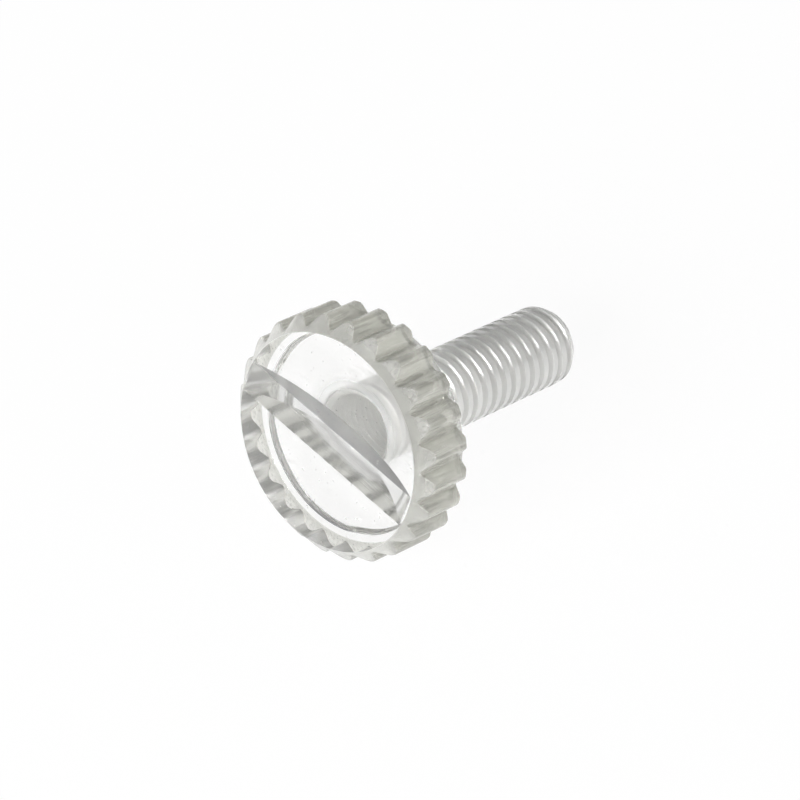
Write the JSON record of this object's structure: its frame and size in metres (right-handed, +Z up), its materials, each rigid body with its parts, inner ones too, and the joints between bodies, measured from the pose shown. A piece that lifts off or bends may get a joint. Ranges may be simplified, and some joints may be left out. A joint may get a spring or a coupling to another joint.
{
  "type": "slotted thumb screw",
  "caption": "Clear plastic thumb screw with a straight-knurled round head, a bevelled slotted face, a plain bearing collar and a threaded shank with a bevelled tip.",
  "frame": {"origin": "middle of the bounding box's base, on the surface that the screw lies on", "axes": "+Z up; the shank points along +X and slopes down to the surface, because the screw lies on two crests of its knurl and the edge of its tip; the slotted face looks along -X and slightly up"},
  "size_m": [0.0174, 0.012, 0.012],
  "materials": {
    "clear_plastic": "clear polycarbonate, polished, with faint tool marks"
  },
  "bodies": {
    "root": {"thumb_screw": "clear_plastic"}
  },
  "joints": []
}
